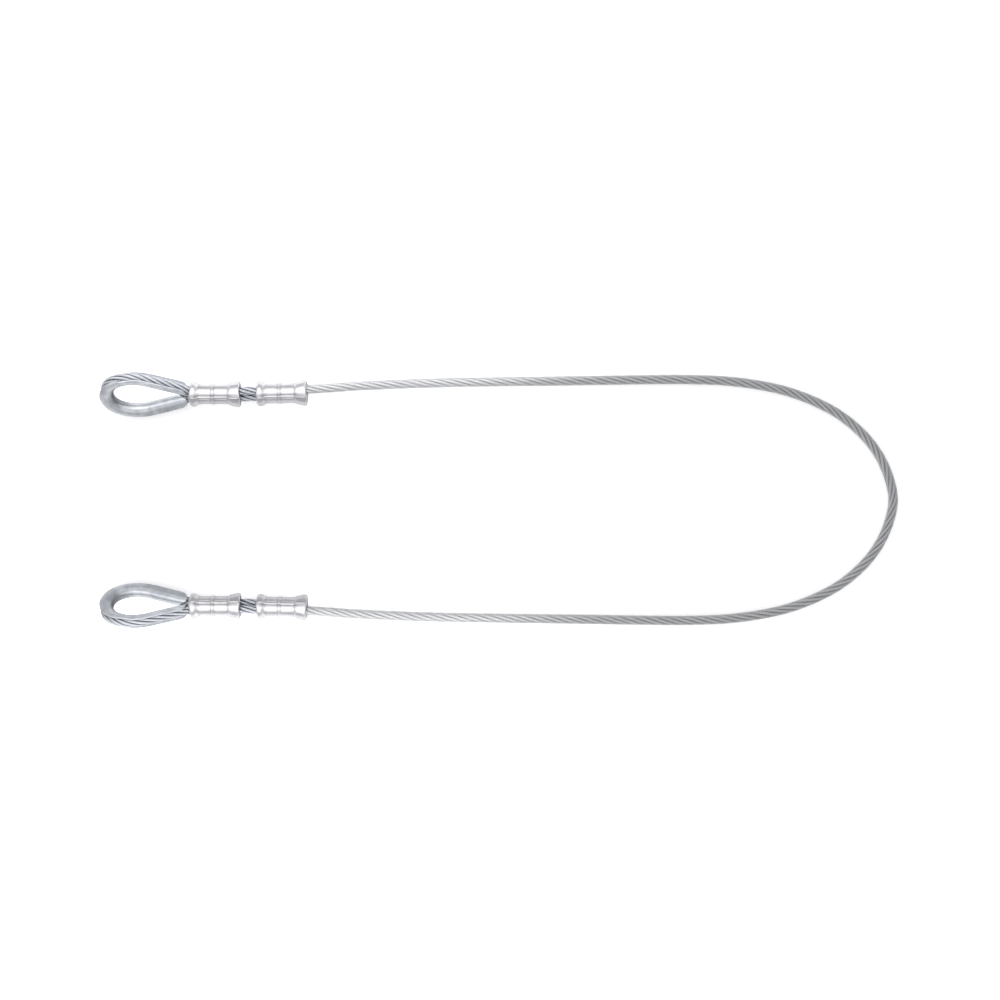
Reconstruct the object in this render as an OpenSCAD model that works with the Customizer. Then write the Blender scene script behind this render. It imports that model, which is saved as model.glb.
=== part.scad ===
// Two-leg wire rope sling: one rope bent double, a soft eye with a thimble at
// each end, each eye closed by two pressed sleeves. Millimetres, +Z up, the
// sling lies on z = 0 with its eyes toward -X and its bend toward +X.

/* [Rope] */
// Diameter of the bare wire rope
rope_d = 6.6; // [6.4:0.1:6.7]
// Outer diameter of the clear sheath over the run
sheath_d = 8; // [7.8:0.1:8.2]
// Bore of the sheath
sheath_bore = 6.8; // [6.8:0.05:7]
// Length in which a strand goes once round the rope
lay = 56; // [50:1:64]

/* [Thimble] */
// Half width of the eye between the rope's centrelines
crown_r = 17.2; // [17:0.1:17.4]
// Radius of the rope's centreline round the two cheeks of the crown
cheek_r = 25; // [24:0.5:26]
// Radius of the rope's centreline round the two shoulders
shoulder_r = 40; // [39:0.5:41]
// Thickness of the thimble's flanges
thimble_wall = 1.9; // [1.7:0.1:2]
// How much thicker the thimble is at the bottom of the groove
crest_extra = 1.45; // [1.2:0.05:1.6]
// Radius of the groove that the rope lies in
groove_r = 3.5; // [3.4:0.05:3.6]
// Height of the flanges above the rope's centreline
flange_h = 2.1; // [1.8:0.1:2.3]
// Width of the flat band along the inside of the groove
saddle_band = 4; // [3:0.5:5]

/* [Sleeves] */
// Length of a pressed sleeve
sleeve_l = 38.3; // [38:0.1:39]
// Radius at the pressed waist
waist_r = 7.65; // [7.6:0.05:7.9]
// Radius of the ridge between the two presses
ridge_r = 8.35; // [8.2:0.05:8.6]
// Radius of the flare on the eye side
flare_eye_r = 9.75; // [9.5:0.05:10.2]
// Radius of the flare on the run side
flare_run_r = 10.25; // [10:0.05:10.5]
// Height of the flash fin left by the press
fin_h = 0.4; // [0.2:0.1:0.6]

/* [Lie] */
// Roll of each eye about its own axis
eye_roll = 45; // [44:0.5:46]
// Slope of each eye down towards its run
eye_slope = 3.55; // [3.5:0.05:3.6]
// Turn of each eye's axis in plan
eye_yaw = 0.4; // [0.3:0.05:0.5]
// Yaw of the run sleeve against the eye sleeve
sleeve_yaw = 1.5; // [1:0.1:2]

/* [Hidden] */
$fn = 96;
shift_x = -1.2;             // puts the middle of the sling's length at the origin
rope_r = rope_d / 2;
rope_gap = 3.4;             // half distance of the two ropes inside a sleeve
mouth_x = -150.6;           // run end of the run sleeve
mouth_y = 82.9;
mouth_z = 9.55;
cheek_turn = 30;            // turn of each cheek; the nose takes the rest of the half circle
nose_r = (crown_r - cheek_r * (1 - cos(cheek_turn))) / cos(cheek_turn); // radius of the nose
limb_turn = 19;               // angle between a limb and the eye's axis
out_r = 25;                 // radius in which the rope leaves the limb
limb_l = (crown_r - rope_gap - (shoulder_r + out_r) * (1 - cos(limb_turn))) / sin(limb_turn); // straight part of a limb
seat = groove_r - rope_r - 0.15; // the rope all but touches the bottom of the groove
eye_sleeve_x = -90.4;       // eye end of the eye sleeve
yaw_x = -50.2;              // middle of the bare gap, about which the run sleeve is yawed
strand_pitch_r = rope_r / 1.465;
strand_r = strand_pitch_r * 0.455;
core_r = 0.9;

// Route of the run's centreline: mouth of eye a, flex, leg, turn, half of the bend
route = [
  [-152.32, 86.19, 12.96], [-136, 87, 12.2], [-119, 88.6, 10.1], [-104, 89.6, 8], [-89, 90.4, 6.3],
  [-72, 91.25, 4.9], [-52, 91.9, 4.1], [-30, 92.35, 4], [5, 92.9, 4], [40, 93.3, 4], [75, 93.8, 4],
  [110, 94.3, 4], [143, 94.5, 4], [172, 93.7, 4], [190, 92, 4], [208, 89.2, 4], [227, 84.7, 4],
  [246, 77.5, 4], [264, 68.2, 4], [280, 55.9, 4], [293, 41.4, 4], [302, 25.6, 4], [307.2, 9.2, 4]
];
whole = concat(route, [[308.7, 0, 4]], [for (i = [len(route) - 1 : -1 : 0]) [route[i][0], -route[i][1], route[i][2]]]);
last = len(whole) - 1;

// ---- curves ----
function cr(p, i, t) =
  let (a = p[max(i - 1, 0)], b = p[i], c = p[min(i + 1, len(p) - 1)], d = p[min(i + 2, len(p) - 1)])
  0.5 * (2 * b + (c - a) * t + (2 * a - 5 * b + 4 * c - d) * t * t + (3 * b - a - 3 * c + d) * t * t * t);
function unit(v) = v / norm(v);
function line(p, i, j, cut) = concat([for (k = [i : j - 1], m = [0 : cut - 1]) cr(p, k, m / cut)], [p[j]]);
function heading(p, q, i) = unit(q[min(i + 1, len(q) - 1)] - q[max(i - 1, 0)]);

// A turn path in the eye's plane: pieces of [length, curvature in degrees per mm]
function step(s, l, k) = abs(k) < 1e-6 ? [s[0] + l * cos(s[2]), s[1] + l * sin(s[2]), s[2]]
  : let (r = 180 / PI / k, a = s[2] + l * k) [s[0] + r * (sin(a) - sin(s[2])), s[1] - r * (cos(a) - cos(s[2])), a];
function along(s, pieces, l, i = 0) = i >= len(pieces) || l <= pieces[i][0] ?
  step(s, l, i < len(pieces) ? pieces[i][1] : 0) : along(step(s, pieces[i][0], pieces[i][1]), pieces, l - pieces[i][0], i + 1);
function total(v, i = 0) = i >= len(v) ? 0 : v[i][0] + total(v, i + 1);
function arc(r, a) = r * a * PI / 180;

yaw_l = 10;                 // length of rope in which the yaw is taken up
spread_x = eye_sleeve_x + 6; // where the two ropes begin to part inside the eye sleeve
crown_x = spread_x - (out_r + shoulder_r) * sin(limb_turn) - limb_l * cos(limb_turn);
sleeve_back = 0.6;           // the run sleeve ends this far before the mouth point
lean = rope_gap * tan(sleeve_yaw / 2);
live_x = -2.4;              // where the strands take over from the sheathed run
dead_x = -4.5;              // where the dead end is cut
eye_pieces = [
  [live_x - yaw_x - lean - yaw_l / 2, 0],
  [yaw_l, -sleeve_yaw / yaw_l],
  [yaw_x - lean - yaw_l / 2 - spread_x, 0],
  [arc(out_r, limb_turn), -180 / PI / out_r],
  [limb_l, 0],
  [arc(shoulder_r, limb_turn), 180 / PI / shoulder_r],
  [arc(cheek_r, cheek_turn), 180 / PI / cheek_r],
  [arc(nose_r, 180 - 2 * cheek_turn), 180 / PI / nose_r],
  [arc(cheek_r, cheek_turn), 180 / PI / cheek_r],
  [arc(shoulder_r, limb_turn), 180 / PI / shoulder_r],
  [limb_l, 0],
  [arc(out_r, limb_turn), -180 / PI / out_r],
  [yaw_x + lean - yaw_l / 2 - spread_x, 0],
  [yaw_l, sleeve_yaw / yaw_l],
  [dead_x - yaw_x + lean - yaw_l / 2, 0]
];
function yawed(x, y) = [yaw_x + (x - yaw_x) * cos(sleeve_yaw) - y * sin(sleeve_yaw), (x - yaw_x) * sin(sleeve_yaw) + y * cos(sleeve_yaw)];
eye_start = [yawed(live_x, rope_gap)[0], yawed(live_x, rope_gap)[1], 180 + sleeve_yaw];
eye_len = total(eye_pieces);
rings = 64;

// Points of a ring of a strand in the eye's frame; hand is +1 or -1
function ring(l, turn, off, r, sides, hand) =
  let (s = along(eye_start, eye_pieces, l), t = [cos(s[2]), sin(s[2]), 0], u = [-sin(s[2]), cos(s[2]), 0], n = [0, 0, 1],
       a = hand * (turn + 360 * l / lay), c = [s[0], s[1], 0] + off * (cos(a) * u + sin(a) * n),
       lead = unit(t + hand * off * 2 * PI / lay * (cos(a) * n - sin(a) * u)),
       f = unit(cross(lead, u)), e = cross(f, lead))
  [for (k = [0 : sides - 1]) c + r * (cos(360 * k / sides) * e + sin(360 * k / sides) * f)];

module skin(rows) {
  n = len(rows[0]);
  m = len(rows);
  polyhedron(
    [for (row = rows, p = row) p],
    concat([[for (k = [0 : n - 1]) k]], [[for (k = [n - 1 : -1 : 0]) (m - 1) * n + k]],
      [for (i = [0 : m - 2], k = [0 : n - 1]) [i * n + k, (i + 1) * n + k, (i + 1) * n + (k + 1) % n]],
      [for (i = [0 : m - 2], k = [0 : n - 1]) [i * n + k, (i + 1) * n + (k + 1) % n, i * n + (k + 1) % n]]),
    convexity = 10);
}

// A hollow tube: rows of the outer skin, then rows of the bore
module pipe(outer, inner) {
  n = len(outer[0]);
  m = len(outer);
  o = n * m;
  polyhedron(
    concat([for (row = outer, p = row) p], [for (row = inner, p = row) p]),
    concat(
      [for (i = [0 : m - 2], k = [0 : n - 1]) [i * n + k, (i + 1) * n + k, (i + 1) * n + (k + 1) % n]],
      [for (i = [0 : m - 2], k = [0 : n - 1]) [i * n + k, (i + 1) * n + (k + 1) % n, i * n + (k + 1) % n]],
      [for (i = [0 : m - 2], k = [0 : n - 1]) [o + i * n + k, o + (i + 1) * n + (k + 1) % n, o + (i + 1) * n + k]],
      [for (i = [0 : m - 2], k = [0 : n - 1]) [o + i * n + k, o + i * n + (k + 1) % n, o + (i + 1) * n + (k + 1) % n]],
      [for (k = [0 : n - 1]) [k, (k + 1) % n, o + (k + 1) % n]],
      [for (k = [0 : n - 1]) [k, o + (k + 1) % n, o + k]],
      [for (k = [0 : n - 1]) [(m - 1) * n + k, o + (m - 1) * n + (k + 1) % n, (m - 1) * n + (k + 1) % n]],
      [for (k = [0 : n - 1]) [(m - 1) * n + k, o + (m - 1) * n + k, o + (m - 1) * n + (k + 1) % n]]),
    convexity = 10);
}

// Rings of the run between two route points, and a tube or pipe over them
function run_rows(i, j, cut, r) =
  let (q = line(whole, i, j, cut))
  [for (k = [0 : len(q) - 1])
    let (t = k == 0 ? unit(cr(whole, i, 0.02) - cr(whole, max(i - 1, 0), i > 0 ? 0.98 : 0)) :
             k == len(q) - 1 ? unit((j < last ? cr(whole, j, 0.02) : whole[j]) - cr(whole, j - 1, 0.98)) : heading(whole, q, k),
         side = unit(cross([0, 0, 1], t)), up = cross(t, side))
    [for (a = [0 : 9]) q[k] + r * (cos(90 + 36 * a) * side + sin(90 + 36 * a) * up)]];

module run_rope(i, j, cut) { color([0.72, 0.73, 0.76]) translate([shift_x, 0, 0]) skin(run_rows(i, j, cut, rope_r)); }
module run_sheath(i, j, cut) { color([0.86, 0.87, 0.9, 0.5]) translate([shift_x, 0, 0]) pipe(run_rows(i, j, cut, sheath_d / 2), run_rows(i, j, cut, sheath_bore / 2)); }

// ---- eye ----
module eye_at(side) {
  mirror([0, side < 0 ? 1 : 0, 0])
    translate([mouth_x + shift_x, mouth_y, mouth_z]) rotate([0, 0, eye_yaw]) rotate([0, eye_slope, 0]) rotate([eye_roll, 0, 0]) children();
}

module strand(k, hand) {
  color([0.75, 0.76, 0.79]) skin([for (i = [0 : rings]) ring(eye_len * i / rings, 60 * k, strand_pitch_r, strand_r, 8, hand)]);
}

module rope_core(hand) {
  color([0.55, 0.56, 0.6]) skin([for (i = [0 : rings]) ring(eye_len * i / rings, 0, 0, core_r, 8, hand)]);
}

// Half of the channel's section, from the crest over the rim to the bottom of the groove
function half_section(grow, high, crest) =
  let (out = groove_r + thimble_wall + grow, flat = asin(saddle_band / 2 / out), in = groove_r - grow)
  concat(
    [[-out * cos(flat) - crest, 0]],
    [for (j = [0 : 6]) let (a = flat + (90 - flat) * j / 6) [-out * cos(a) - crest, out * sin(a)]],
    [[high + grow, out + rim_splay - 0.3], [high + grow, in + rim_splay]],
    [for (j = [7 : -1 : 0]) let (a = 90 * j / 7) [-in * cos(a), in * sin(a)]]);
function section(grow, high, crest) = let (v = half_section(grow, high, crest)) concat(v, [for (k = [16 : -1 : 1]) [v[k][0], -v[k][1]]]);
rim_splay = 0.3;
low_h = 1;    // height of the flanges along the outer limb, where more of the rope shows
tip_cut = 0.4;
lap = 0.3;   // the straights and cheeks are a hair fuller and lap the shoulders and the nose
full = 0.02;

// One piece of the thimble, from a point of the rope's path, along +X and turning left
module bent(r, turn, grow, more, high, crest) {
  extra = more / r * 180 / PI;
  translate([0, r, 0]) rotate_extrude(angle = turn + 2 * extra, start = -90 - extra) translate([r + seat, 0]) polygon(section(grow, high, crest));
}
module straight(l, high, crest) { rotate([90, 0, 90]) linear_extrude(l) polygon([for (q = section(full, high, crest)) [-q[0] - seat, q[1]]]); }
function length_to(i) = i <= 0 ? 0 : eye_pieces[i - 1][0] + length_to(i - 1);
module at_path(i) {
  s = along(eye_start, eye_pieces, length_to(i));
  translate([s[0], s[1], 0]) rotate([0, 0, s[2]]) children();
}

module thimble() {
  color([0.72, 0.74, 0.77]) union() {
    at_path(4) translate([tip_cut, 0, 0]) straight(limb_l - tip_cut + lap, low_h, crest_extra * 0.25);
    at_path(5) bent(shoulder_r, limb_turn, 0, 0, low_h - 0.1, crest_extra * 0.65);
    at_path(6) bent(cheek_r, cheek_turn, full, lap, low_h + 0.2, crest_extra);
    at_path(7) bent(nose_r, 180 - 2 * cheek_turn, 0, 0, flange_h, crest_extra);
    at_path(8) bent(cheek_r, cheek_turn, full, lap, flange_h, crest_extra);
    at_path(9) bent(shoulder_r, limb_turn, 0, 0, flange_h, crest_extra * 0.65);
    at_path(10) translate([-lap, 0, 0]) straight(limb_l - tip_cut + lap, flange_h, crest_extra * 0.25);
  }
}

// Half outline of a sleeve, from the eye side to the run side
function outline(more) = [
  [0, 0], [0, flare_eye_r - 1.5 + more], [0.5, flare_eye_r - 0.75 + more], [1.2, flare_eye_r - 0.25 + more], [2.1, flare_eye_r + more],
  [3, flare_eye_r + more], [4.2, flare_eye_r - 0.45 + more], [5.5, waist_r + 0.85 + more], [6.8, waist_r + 0.2 + more], [8.5, waist_r + more],
  [15.8, waist_r + more], [16.8, ridge_r - 0.2 + more], [17.5, ridge_r + more], [18.2, ridge_r - 0.2 + more], [19.2, waist_r + more],
  [28.4, waist_r + more], [29.8, waist_r + 0.7 + more], [31, waist_r + 1.25 + more], [32.5, waist_r + 1.65 + more], [34.5, waist_r + 2.1 + more],
  [36.2, flare_run_r - 0.1 + more], [37, flare_run_r + more], [37.7, flare_run_r - 0.2 + more], [sleeve_l, flare_run_r - 1 + more], [sleeve_l, 0]
];

module turned(more) { rotate([0, 90, 0]) rotate_extrude() polygon([for (p = outline(more)) [p[1], p[0]]]); }

module twin_bore(x, l, half, r, web) {
  translate([x, 0, 0]) rotate([0, 90, 0]) rotate([0, 0, 90]) linear_extrude(l) {
    translate([half, 0]) circle(r);
    translate([-half, 0]) circle(r);
    translate([-half, -web]) square([2 * half, 2 * web]);
  }
}

module sleeve(eye_pocket, run_pocket) {
  color([0.86, 0.85, 0.86]) difference() {
    union() {
      turned(0);
      intersection() {
        turned(fin_h);
        rotate([-19, 0, 0]) translate([1.5, -0.45, -20]) cube([sleeve_l - 3, 0.9, 40]);
      }
    }
    twin_bore(-1, sleeve_l + 2, rope_gap, rope_r + 0.12, 1.4);
    if (eye_pocket > 0) twin_bore(-1, 1 + eye_pocket, rope_gap + 0.55, rope_r + 0.45, 2.2);
    if (run_pocket > 0) twin_bore(sleeve_l - run_pocket, run_pocket + 1, rope_gap, sheath_d / 2 + 0.4, 2.6);
  }
}

module sleeve_eye() { translate([eye_sleeve_x, 0, 0]) sleeve(6, 0); }
module sleeve_run() { translate([yaw_x, 0, 0]) rotate([0, 0, sleeve_yaw]) translate([-yaw_x - sleeve_l - sleeve_back, 0, 0]) sleeve(0, 3); }

eye_at(1) thimble();  // thimble_a
eye_at(1) sleeve_eye();  // sleeve_eye_a
eye_at(1) sleeve_run();  // sleeve_run_a
eye_at(1) strand(0, 1);  // strand_1_a
eye_at(1) strand(1, 1);  // strand_2_a
eye_at(1) strand(2, 1);  // strand_3_a
eye_at(1) strand(3, 1);  // strand_4_a
eye_at(1) strand(4, 1);  // strand_5_a
eye_at(1) strand(5, 1);  // strand_6_a
eye_at(1) rope_core(1);  // rope_core_a
eye_at(-1) thimble();  // thimble_b
eye_at(-1) sleeve_eye();  // sleeve_eye_b
eye_at(-1) sleeve_run();  // sleeve_run_b
eye_at(-1) strand(0, -1);  // strand_1_b
eye_at(-1) strand(1, -1);  // strand_2_b
eye_at(-1) strand(2, -1);  // strand_3_b
eye_at(-1) strand(3, -1);  // strand_4_b
eye_at(-1) strand(4, -1);  // strand_5_b
eye_at(-1) strand(5, -1);  // strand_6_b
eye_at(-1) rope_core(-1);  // rope_core_b
run_rope(0, 2, 1);  // run_rope_mouth_a
run_sheath(0, 2, 1);  // run_sheath_mouth_a
run_rope(2, 4, 1);  // run_rope_flex_a
run_sheath(2, 4, 1);  // run_sheath_flex_a
run_rope(4, 13, 2);  // run_rope_leg_a
run_sheath(4, 13, 2);  // run_sheath_leg_a
run_rope(13, 15, 1);  // run_rope_turn_a
run_sheath(13, 15, 1);  // run_sheath_turn_a
run_rope(last - 2, last, 1);  // run_rope_mouth_b
run_sheath(last - 2, last, 1);  // run_sheath_mouth_b
run_rope(last - 4, last - 2, 1);  // run_rope_flex_b
run_sheath(last - 4, last - 2, 1);  // run_sheath_flex_b
run_rope(last - 13, last - 4, 2);  // run_rope_leg_b
run_sheath(last - 13, last - 4, 2);  // run_sheath_leg_b
run_rope(last - 15, last - 13, 1);  // run_rope_turn_b
run_sheath(last - 15, last - 13, 1);  // run_sheath_turn_b
run_rope(15, last - 15, 2);  // run_rope_bend
run_sheath(15, last - 15, 2);  // run_sheath_bend
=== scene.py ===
import bpy
import math
import numpy as np
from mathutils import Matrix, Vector


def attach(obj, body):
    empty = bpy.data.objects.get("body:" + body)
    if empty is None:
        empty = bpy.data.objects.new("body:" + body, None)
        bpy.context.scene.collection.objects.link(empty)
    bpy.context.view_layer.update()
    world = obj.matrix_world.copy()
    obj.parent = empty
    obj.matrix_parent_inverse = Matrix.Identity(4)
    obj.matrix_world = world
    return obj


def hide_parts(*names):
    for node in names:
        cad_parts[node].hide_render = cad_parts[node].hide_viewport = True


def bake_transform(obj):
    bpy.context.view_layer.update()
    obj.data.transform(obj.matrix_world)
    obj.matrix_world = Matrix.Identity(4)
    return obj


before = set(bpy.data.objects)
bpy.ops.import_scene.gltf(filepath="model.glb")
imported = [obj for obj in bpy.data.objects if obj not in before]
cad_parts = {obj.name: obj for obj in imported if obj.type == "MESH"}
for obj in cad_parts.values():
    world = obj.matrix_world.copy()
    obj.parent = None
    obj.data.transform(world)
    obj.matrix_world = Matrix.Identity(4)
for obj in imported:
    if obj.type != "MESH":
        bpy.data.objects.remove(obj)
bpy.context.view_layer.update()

rng = np.random.default_rng(7)
TAU = 2 * math.pi
MM = 0.001

# ---------------------------------------------------------------- camera
scene = bpy.context.scene
cam_data = bpy.data.cameras.new("camera")
cam_data.type = "PERSP"
cam_data.sensor_width = 36
cam_data.lens = 51.2
camera = bpy.data.objects.new("camera", cam_data)
camera.location = (-0.0016, 0.0, 1.12)
camera.rotation_euler = (0, 0, 0)
scene.collection.objects.link(camera)
scene.camera = camera

# ---------------------------------------------------------------- sizes, as the CAD has them (mm)
SHIFT = -1.2
ROLL, SLOPE, YAW, EYE_YAW = 45.0, 3.55, 1.5, 0.4
MOUTH = (-150.6, 82.9, 9.55)
ROPE_GAP = 3.4
CROWN_R, SHOULDER_R, LIMB_TURN, OUT_R = 17.2, 40.0, 19.0, 25.0
CHEEK_R, CHEEK_TURN = 25.0, 30.0
NOSE_R = (CROWN_R - CHEEK_R * (1 - math.cos(math.radians(CHEEK_TURN)))) / math.cos(math.radians(CHEEK_TURN))
TURN_C, TURN_S = math.cos(math.radians(LIMB_TURN)), math.sin(math.radians(LIMB_TURN))
LIMB_L = (CROWN_R - ROPE_GAP - (SHOULDER_R + OUT_R) * (1 - TURN_C)) / TURN_S
GROOVE_R, WALL, SEAT, CREST_EXTRA = 3.5, 1.9, 0.05, 1.45
SLEEVE_L = 38.3
EYE_SLEEVE_X = -90.4
YAW_X, YAW_L = -50.2, 10.0
SPREAD_X = EYE_SLEEVE_X + 6.0
SLEEVE_BACK = 0.6
CROWN_X = SPREAD_X - (OUT_R + SHOULDER_R) * TURN_S - LIMB_L * TURN_C
LEAN = ROPE_GAP * math.tan(math.radians(YAW / 2))
LIVE_X, DEAD_X = -2.4, -4.5
LAY = 56.0
SHEATH_R, BORE_R = 4.0, 3.68
# the clear wall works as a lens, so the covered rope is drawn nearly as thick as it looks through it
COVERED_HELIX, COVERED_STRAND = 2.44, 1.19
HELIX_R, STRAND_R = 2.25, 1.11

ROUTE = [
    (-152.32, 86.19, 12.96), (-136, 87, 12.2), (-119, 88.6, 10.1), (-104, 89.6, 8), (-89, 90.4, 6.3),
    (-72, 91.25, 4.9), (-52, 91.9, 4.1), (-30, 92.35, 4), (5, 92.9, 4), (40, 93.3, 4), (75, 93.8, 4),
    (110, 94.3, 4), (143, 94.5, 4), (172, 93.7, 4), (190, 92, 4), (208, 89.2, 4), (227, 84.7, 4),
    (246, 77.5, 4), (264, 68.2, 4), (280, 55.9, 4), (293, 41.4, 4), (302, 25.6, 4), (307.2, 9.2, 4),
]


# ---------------------------------------------------------------- helpers
def unit(v):
    return v / np.maximum(np.linalg.norm(v, axis=-1, keepdims=True), 1e-12)


def smoothstep(x, a, b):
    t = np.clip((np.asarray(x, float) - a) / (b - a), 0, 1)
    return t * t * (3 - 2 * t)


def make_mesh(name, verts_mm, faces, attrs=None, smooth=True, sharp_deg=None, sharp_rings=()):
    me = bpy.data.meshes.new(name)
    v = np.asarray(verts_mm, float) * MM
    me.from_pydata([tuple(p) for p in v], [], faces)
    me.validate(clean_customdata=False)
    if smooth:
        me.polygons.foreach_set("use_smooth", [True] * len(me.polygons))
    for key, values in (attrs or {}).items():
        values = np.asarray(values, float)
        if values.ndim == 2:
            a = me.attributes.new(key, "FLOAT_VECTOR", "POINT")
            a.data.foreach_set("vector", values.astype(np.float32).ravel())
        else:
            a = me.attributes.new(key, "FLOAT", "POINT")
            a.data.foreach_set("value", values.astype(np.float32))
    me.update()
    if sharp_deg:
        me.set_sharp_from_angle(angle=math.radians(sharp_deg))
    if len(sharp_rings):
        # an edge is sharp if both its ends lie on the same numbered ring
        ring_of = np.full(len(me.vertices), -1)
        for number, ring in enumerate(sharp_rings):
            ring_of[list(ring)] = number
        ends = np.empty(len(me.edges) * 2, int)
        me.edges.foreach_get("vertices", ends)
        a, b = ring_of[ends[0::2]], ring_of[ends[1::2]]
        mark = me.attributes.get("sharp_edge") or me.attributes.new("sharp_edge", "BOOLEAN", "EDGE")
        mark.data.foreach_set("value", (a >= 0) & (a == b))
    ob = bpy.data.objects.new(name, me)
    scene.collection.objects.link(ob)
    return ob


def grid_faces(rows, cols, base=0, wrap=True):
    out = []
    for i in range(rows - 1):
        for k in range(cols if wrap else cols - 1):
            k2 = (k + 1) % cols
            out.append((base + i * cols + k, base + i * cols + k2, base + (i + 1) * cols + k2, base + (i + 1) * cols + k))
    return out


# ---------------------------------------------------------------- the run's centreline
def catmull(p, i, t):
    n = len(p)
    a, b, c, d = p[max(i - 1, 0)], p[i], p[min(i + 1, n - 1)], p[min(i + 2, n - 1)]
    return 0.5 * (2 * b + (c - a) * t + (2 * a - 5 * b + 4 * c - d) * t * t + (3 * b - a - 3 * c + d) * t ** 3)


def run_line(step=1.0):
    half = [np.array(p, float) for p in ROUTE]
    whole = half + [np.array((308.7, 0.0, 4.0))] + [np.array((p[0], -p[1], p[2])) for p in half[::-1]]
    dense = np.array([catmull(whole, i, t / 30) for i in range(len(whole) - 1) for t in range(30)] + [whole[-1]])
    s = np.concatenate([[0], np.cumsum(np.linalg.norm(np.diff(dense, axis=0), axis=1))])
    n = int(round(s[-1] / step))
    q = np.linspace(0, s[-1], n + 1)
    line = np.stack([np.interp(q, s, dense[:, k]) for k in range(3)], 1)
    # even out the small steps in curvature, ends held
    w = 18
    kernel = np.exp(-0.5 * (np.arange(-w, w + 1) * step / 6.0) ** 2)
    kernel /= kernel.sum()
    ahead = 2 * line[0] - line[1:w + 1][::-1]
    behind = 2 * line[-1] - line[-w - 1:-1][::-1]
    padded = np.concatenate([ahead, line, behind])
    line = np.stack([np.convolve(padded[:, k], kernel, "valid") for k in range(3)], 1)
    line[:, 0] += SHIFT
    return line


RUN = run_line()
RUN_S = np.concatenate([[0], np.cumsum(np.linalg.norm(np.diff(RUN, axis=0), axis=1))])
RUN_LEN = float(RUN_S[-1])


def run_at(s):
    s = np.asarray(s, float)
    p = np.stack([np.interp(s, RUN_S, RUN[:, k]) for k in range(3)], 1)
    h = 1.5
    a = np.stack([np.interp(np.clip(s - h, 0, RUN_LEN), RUN_S, RUN[:, k]) for k in range(3)], 1)
    b = np.stack([np.interp(np.clip(s + h, 0, RUN_LEN), RUN_S, RUN[:, k]) for k in range(3)], 1)
    t = unit(b - a)
    side = unit(np.cross(np.array([0, 0, 1.0]), t))
    up = np.cross(t, side)
    return p, t, side, up


# ---------------------------------------------------------------- the eye's centreline, in the eye's own plane
def arc(r, a):
    return r * math.radians(a)


PIECES = [
    (LIVE_X - YAW_X - LEAN - YAW_L / 2, 0),
    (YAW_L, -math.radians(YAW) / YAW_L),
    (YAW_X - LEAN - YAW_L / 2 - SPREAD_X, 0),
    (arc(OUT_R, LIMB_TURN), -1 / OUT_R),
    (LIMB_L, 0),
    (arc(SHOULDER_R, LIMB_TURN), 1 / SHOULDER_R),
    (arc(CHEEK_R, CHEEK_TURN), 1 / CHEEK_R),
    (arc(NOSE_R, 180 - 2 * CHEEK_TURN), 1 / NOSE_R),
    (arc(CHEEK_R, CHEEK_TURN), 1 / CHEEK_R),
    (arc(SHOULDER_R, LIMB_TURN), 1 / SHOULDER_R),
    (LIMB_L, 0),
    (arc(OUT_R, LIMB_TURN), -1 / OUT_R),
    (YAW_X + LEAN - YAW_L / 2 - SPREAD_X, 0),
    (YAW_L, math.radians(YAW) / YAW_L),
    (DEAD_X - YAW_X + LEAN - YAW_L / 2, 0),
]
EYE_LEN = sum(p[0] for p in PIECES)


def yawed(x, y):
    c, s = math.cos(math.radians(YAW)), math.sin(math.radians(YAW))
    return YAW_X + (x - YAW_X) * c - y * s, (x - YAW_X) * s + y * c


def eye_state(l):
    x, y = yawed(LIVE_X, ROPE_GAP)
    a = math.pi + math.radians(YAW)
    for length, k in PIECES:
        d = min(l, length)
        if abs(k) < 1e-9:
            x, y = x + d * math.cos(a), y + d * math.sin(a)
        else:
            r = 1 / k
            b = a + d * k
            x, y = x + r * (math.sin(b) - math.sin(a)), y - r * (math.cos(b) - math.cos(a))
            a = b
        l -= d
        if l <= 1e-9:
            break
    return x, y, a


def to_row(points, side):
    """Eye's own x, u, n (mm) to the row frame (mm); side -1 is eye b."""
    p = np.asarray(points, float)
    r, s = math.radians(ROLL), math.radians(SLOPE)
    y = p[:, 1] * math.cos(r) - p[:, 2] * math.sin(r)
    z = p[:, 1] * math.sin(r) + p[:, 2] * math.cos(r)
    x = p[:, 0] * math.cos(s) + z * math.sin(s)
    z = -p[:, 0] * math.sin(s) + z * math.cos(s)
    w = math.radians(EYE_YAW)
    x, y = x * math.cos(w) - y * math.sin(w), x * math.sin(w) + y * math.cos(w)
    return np.stack([x + MOUTH[0] + SHIFT, side * (y + MOUTH[1]), z + MOUTH[2]], 1)


# ---------------------------------------------------------------- strands
def wire_section(wires, per, r_out):
    """Outline of a strand with its outer wires: angle and radius."""
    half = math.pi / wires
    r_w = r_out * math.sin(half) / (1 + math.sin(half))
    r_c = r_out - r_w
    ang, rad = [], []
    for w in range(wires):
        for j in range(per):
            d = (j / per - 0.5) * 2 * half if per > 2 else (-half if j == 0 else 0.0)
            ang.append(w * 2 * half + d)
            rad.append(r_c * math.cos(d) + math.sqrt(max(r_w ** 2 - (r_c * math.sin(d)) ** 2, 0)))
    return np.array(ang), np.array(rad)


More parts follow.
